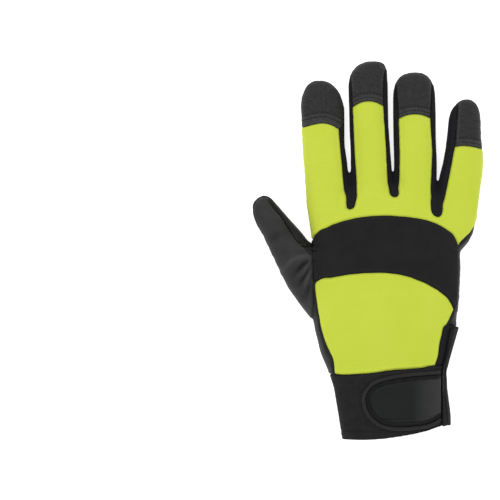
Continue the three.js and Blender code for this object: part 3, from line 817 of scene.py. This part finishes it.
def add_lights():
    world = bpy.data.worlds.new("studio")
    world.use_nodes = True
    world.node_tree.nodes["Background"].inputs["Color"].default_value = (1, 1, 1, 1)
    world.node_tree.nodes["Background"].inputs["Strength"].default_value = SKY
    bpy.context.scene.world = world
    for light in LIGHTS:
        data = bpy.data.lights.new(light["name"], "AREA")
        data.shape = "SQUARE"
        data.size = light["size"]
        data.energy = light["power"]
        lamp = bpy.data.objects.new(light["name"], data)
        lamp.location = light["at"]
        lamp.rotation_euler = (-Vector(light["at"])).to_track_quat("-Z", "Y").to_euler()
        bpy.context.scene.collection.objects.link(lamp)


class Recipe:
    """A material in the making: its shader and the patterns that feed it."""

    def __init__(self, name, roughness, specular, sheen):
        self.material = bpy.data.materials.new(name)
        self.material.use_nodes = True
        self.tree = self.material.node_tree
        self.shader = self.tree.nodes["Principled BSDF"]
        self.shader.inputs["Roughness"].default_value = roughness
        self.shader.inputs["Specular IOR Level"].default_value = specular
        self.shader.inputs["Sheen Weight"].default_value = sheen
        self.shader.inputs["Sheen Roughness"].default_value = 0.5
        lengths = self.add("ShaderNodeUVMap")
        lengths.uv_map = CLOTH
        parts = self.add("ShaderNodeSeparateXYZ")
        self.link(lengths.outputs["UV"], parts.inputs["Vector"])
        self.across = parts.outputs["X"]
        self.along = parts.outputs["Y"]
        self.place = self.add("ShaderNodeTexCoord").outputs["Object"]
        # The stored lift, which paints shade into creases and a highlight onto ridges.
        wear = self.add("ShaderNodeAttribute")
        wear.attribute_name = PAINTED_SHADING
        self.wear = wear.outputs["Fac"]
        self.bumps = None

    def add(self, kind):
        return self.tree.nodes.new(kind)

    def link(self, source, target):
        self.tree.links.new(source, target)

    def math(self, operation, *values):
        node = self.add("ShaderNodeMath")
        node.operation = operation
        for socket, value in zip(node.inputs, values):
            if isinstance(value, bpy.types.NodeSocket):
                self.link(value, socket)
            else:
                socket.default_value = value
        return node.outputs["Value"]

    def span(self, value, low, high, start=0.0, end=1.0):
        """The value moved from one range to another, and held inside it."""
        node = self.add("ShaderNodeMapRange")
        self.link(value, node.inputs["Value"])
        for name, bound in zip(("From Min", "From Max", "To Min", "To Max"), (start, end, low, high)):
            node.inputs[name].default_value = bound
        return node.outputs["Result"]

    def wave(self, value, pitch):
        """Even ridges from 0 to 1, one for each pitch."""
        phase = self.math("MULTIPLY", value, 2 * math.pi / (pitch * MM))
        return self.math("MULTIPLY_ADD", self.math("SINE", phase), 0.5, 0.5)

    def cloud(self, size, detail=2.0):
        """Random blotches of one size, mostly between 0.3 and 0.7."""
        node = self.add("ShaderNodeTexNoise")
        self.link(self.place, node.inputs["Vector"])
        node.inputs["Scale"].default_value = 1 / (size * MM)
        node.inputs["Detail"].default_value = detail
        return node.outputs["Fac"]

    def streaks(self, width, length):
        """Random streaks that slant up to the left, of one width and length."""
        slant = self.add("ShaderNodeCombineXYZ")
        across = self.math("ADD", self.across, self.along)
        along = self.math("SUBTRACT", self.along, self.across)
        self.link(self.math("DIVIDE", across, width * MM), slant.inputs["X"])
        self.link(self.math("DIVIDE", along, length * MM), slant.inputs["Y"])
        node = self.add("ShaderNodeTexNoise")
        self.link(slant.outputs["Vector"], node.inputs["Vector"])
        node.inputs["Scale"].default_value = 1
        return node.outputs["Fac"]

    def mix(self, first, second, share):
        """The second value for one share and the first for the rest."""
        kept = self.math("MULTIPLY", first, 1 - share)
        return self.math("MULTIPLY_ADD", second, share, kept)

    def colour(self, value, low, high, crease, ridge):
        """The value's colour between low and high, with painted shade in creases and a painted highlight on
        ridges.
        """
        ramp = self.add("ShaderNodeValToRGB")
        ramp.color_ramp.elements[0].position = 0.15
        ramp.color_ramp.elements[0].color = (*low, 1)
        ramp.color_ramp.elements[1].position = 0.85
        ramp.color_ramp.elements[1].color = (*high, 1)
        self.link(value, ramp.inputs["Fac"])
        # Painted shade darkens the colour in creases, and a painted highlight lightens it on ridges, by the
        # stored lift.
        shade = self.math("MULTIPLY", self.math("MINIMUM", self.wear, 0.0), crease)
        painted_highlight = self.math("MULTIPLY_ADD", self.math("MAXIMUM", self.wear, 0.0), ridge, 1.0)
        painted_light_scale = self.add("ShaderNodeVectorMath")
        painted_light_scale.operation = "SCALE"
        self.link(ramp.outputs["Color"], painted_light_scale.inputs["Vector"])
        self.link(self.math("ADD", shade, painted_highlight), painted_light_scale.inputs["Scale"])
        self.link(painted_light_scale.outputs["Vector"], self.shader.inputs["Base Color"])

    def ramp_along(self, axis, start, end):
        """From 0 to 1 between two places along an axis of the object."""
        parts = self.add("ShaderNodeSeparateXYZ")
        self.link(self.place, parts.inputs["Vector"])
        return self.span(parts.outputs[axis], 0, 1, start * MM, end * MM)

    def gloss(self, value, low, high):
        self.link(self.span(value, low, high), self.shader.inputs["Roughness"])

    def relief(self, height, depth):
        """Raises the surface by the height times the depth in millimetres, on top of earlier relief."""
        node = self.add("ShaderNodeBump")
        node.inputs["Distance"].default_value = depth * MM
        self.link(height, node.inputs["Height"])
        if self.bumps:
            self.link(self.bumps, node.inputs["Normal"])
        self.bumps = node.outputs["Normal"]
        self.link(self.bumps, self.shader.inputs["Normal"])

    def dots(self, pitch):
        """Rounded dots from 0 to 1 in staggered rows that run across."""
        turn = 4 * math.pi / (math.sqrt(3) * pitch * MM)
        total = None
        for degrees in (30, 90, 150):
            lean = math.radians(degrees)
            phase = self.math("MULTIPLY", self.across, turn * math.cos(lean))
            phase = self.math("MULTIPLY_ADD", self.along, turn * math.sin(lean), phase)
            ripple = self.math("COSINE", phase)
            total = ripple if total is None else self.math("ADD", total, ripple)
        return self.span(total, 0, 1, start=-0.6, end=1.4)


def palm_leather():
    """Leather with small raised dots in staggered rows, worn glossy on the dots, and nearly plain sides. The
    dots are coloured lighter than the gaps: partly the leather's own tone, partly a painted highlight on the
    dots and painted shade in the gaps.
    """
    recipe = Recipe("palm_leather", 0.55, 0.2, 0.0)
    under = recipe.math("SUBTRACT", 1.0, recipe.ramp_along("Z", 3.5, 7.5))
    dots = recipe.math("MULTIPLY", recipe.dots(2.2), recipe.span(under, 0.12, 1))
    grain = recipe.cloud(0.6, 4)
    # The dots' painted highlight rises and falls in slow random patches.
    painted_highlight = recipe.span(recipe.cloud(26), 0.3, 1, 0.3, 0.7)
    shade = recipe.mix(recipe.math("MULTIPLY", dots, painted_highlight), grain, 0.15)
    recipe.colour(shade, (0.011, 0.011, 0.012), (0.125, 0.125, 0.128), 0.7, 0.5)
    recipe.gloss(dots, 0.6, 0.32)
    recipe.relief(dots, 0.14)
    recipe.relief(grain, 0.05)
    return recipe.material


def thumb_leather():
    """Soft suede with a fine nap and slow worn patches."""
    recipe = Recipe("thumb_leather", 0.8, 0.15, 0.05)
    nap = recipe.cloud(0.5, 5)
    patches = recipe.cloud(9, 3)
    shade = recipe.mix(nap, patches, 0.55)
    recipe.colour(shade, (0.014, 0.014, 0.014), (0.046, 0.046, 0.046), 0.9, 0.7)
    recipe.gloss(patches, 0.9, 0.68)
    recipe.relief(nap, 0.08)
    recipe.relief(recipe.cloud(2.6, 3), 0.14)
    return recipe.material


def tip_leather():
    """Leather with a fine slanting grain."""
    recipe = Recipe("tip_leather", 0.75, 0.2, 0.03)
    grain = recipe.streaks(1.1, 5)
    shade = recipe.mix(grain, recipe.cloud(1.2, 4), 0.35)
    recipe.colour(shade, (0.010, 0.010, 0.010), (0.064, 0.064, 0.064), 1.2, 0.5)
    recipe.relief(grain, 0.16)
    recipe.relief(recipe.cloud(0.7, 4), 0.08)
    return recipe.material


def lime_knit():
    """Bright stretch knit with fine ribs across the hand."""
    recipe = Recipe("lime_knit", 0.9, 0.1, 0.03)
    ribs = recipe.wave(recipe.along, 1.3)
    wales = recipe.wave(recipe.across, 0.8)
    fibres = recipe.cloud(0.5, 4)
    shade = recipe.mix(recipe.mix(ribs, fibres, 0.4), recipe.cloud(24), 0.5)
    recipe.colour(shade, (0.488, 0.605, 0.044), (0.585, 0.653, 0.073), 0.45, 0.1)
    recipe.relief(recipe.mix(ribs, wales, 0.3), 0.05)
    recipe.relief(fibres, 0.04)
    return recipe.material


def black_neoprene():
    """Foam-backed knit with a fine even mesh on its face."""
    recipe = Recipe("black_neoprene", 0.95, 0.08, 0.02)
    mesh = recipe.mix(recipe.wave(recipe.along, 0.55), recipe.wave(recipe.across, 0.55), 0.5)
    fibres = recipe.cloud(0.6, 4)
    shade = recipe.mix(mesh, recipe.cloud(12), 0.5)
    recipe.colour(shade, (0.010, 0.010, 0.010), (0.021, 0.021, 0.0215), 0.6, 0.5)
    recipe.relief(mesh, 0.06)
    recipe.relief(fibres, 0.04)
    return recipe.material


def side_knit():
    """Thin knit of the finger sides."""
    recipe = Recipe("side_knit", 0.95, 0.08, 0.02)
    rows = recipe.wave(recipe.along, 1.0)
    fibres = recipe.cloud(0.6, 4)
    shade = recipe.mix(rows, fibres, 0.5)
    recipe.colour(shade, (0.008, 0.008, 0.010), (0.018, 0.018, 0.021), 0.6, 0.5)
    recipe.relief(rows, 0.06)
    recipe.relief(fibres, 0.05)
    return recipe.material


def cuff_knit():
    """Elastic knit with fine ribs along the arm and slight rows across."""
    recipe = Recipe("cuff_knit", 0.95, 0.08, 0.02)
    ribs = recipe.wave(recipe.across, 1.1)
    rows = recipe.wave(recipe.along, 1.6)
    fibres = recipe.cloud(0.7, 4)
    shade = recipe.mix(recipe.mix(ribs, rows, 0.4), recipe.cloud(5, 3), 0.5)
    recipe.colour(shade, (0.009, 0.009, 0.009), (0.026, 0.026, 0.0265), 0.8, 0.5)
    recipe.relief(recipe.mix(ribs, rows, 0.35), 0.12)
    recipe.relief(fibres, 0.05)
    return recipe.material


def binding_tape():
    """Woven tape with a fine slanting weave, and a painted highlight that makes it lighter round the strap.
    """
    recipe = Recipe("binding_tape", 0.8, 0.15, 0.03)
    slant = recipe.wave(recipe.math("ADD", recipe.across, recipe.along), 0.8)
    # Painted highlight: the tape's colour lightens from X 50 mm to 47 mm and stays lighter beyond, round the
    # strap.
    painted_highlight = recipe.ramp_along("X", 50, 47)
    shade = recipe.mix(recipe.mix(slant, recipe.cloud(4, 3), 0.5), painted_highlight, 0.4)
    recipe.colour(shade, (0.004, 0.004, 0.005), (0.026, 0.026, 0.027), 0.9, 0.8)
    recipe.relief(slant, 0.06)
    return recipe.material


def thread():
    """Sewing thread with a fine twist."""
    recipe = Recipe("thread", 0.85, 0.1, 0.0)
    twist = recipe.wave(recipe.math("ADD", recipe.across, recipe.along), 0.35)
    shade = recipe.mix(twist, recipe.cloud(3), 0.4)
    recipe.colour(shade, (0.004, 0.004, 0.004), (0.016, 0.016, 0.017), 0.5, 0.5)
    recipe.relief(twist, 0.05)
    return recipe.material


def strap_face():
    """Smooth rubbery face with a faint pebble, and a painted reflection that makes it lighter toward the
    binding.
    """
    recipe = Recipe("strap_face", 0.5, 0.2, 0.0)
    # Painted reflection: the colour lightens from X 28 mm to 48 mm, toward the binding.
    painted_highlight = recipe.ramp_along("X", 28, 48)
    patches = recipe.cloud(9, 2)
    shade = recipe.mix(patches, painted_highlight, 0.8)
    recipe.colour(shade, (0.003, 0.0045, 0.004), (0.029, 0.029, 0.029), 1.2, 0.5)
    recipe.gloss(patches, 0.6, 0.45)
    recipe.relief(recipe.cloud(0.9, 2), 0.02)
    return recipe.material


MATERIALS = (
    palm_leather, thumb_leather, tip_leather, lime_knit, black_neoprene, side_knit, cuff_knit, binding_tape,
    strap_face, thread,
)


def strap_stitches(skin):
    """The stitched border round the strap's smooth face, on the tab."""
    field = distances(skin.points, {"strap_face": solid_tree("strap_face")})[:, 0] / MM
    upward = skin.normals()[:, 2] > UPWARD
    faces = skin.faces[upward[skin.faces].all(axis=1)]
    lines = contours(skin, faces, field, STRAP_STITCHES["row"])
    return stitch_piece("strap_stitches", lines, STRAP_STITCHES["length"], STRAP_STITCHES["gap"])


def main():
    shell = shape_skin()
    pieces = [panel_piece(shell, node) for node in SHELL]
    trims = {node: trim_skin(node) for node in TRIM}
    pieces += [skin_piece(node, skin.points, skin.faces, lift) for node, (skin, lift) in trims.items()]
    pieces += [panel_stitches(shell, rows) for rows in STITCHES]
    pieces.append(strap_stitches(trims["strap_tab"][0]))
    materials = {recipe.__name__: recipe() for recipe in MATERIALS}
    for piece in pieces:
        node = piece.name.removesuffix("_skin")
        piece.data.materials.append(materials[SLOTS.get(node, "thread")])
    add_camera()
    add_floor()
    add_lights()
    bpy.context.scene.view_settings.view_transform = "Standard"


main()
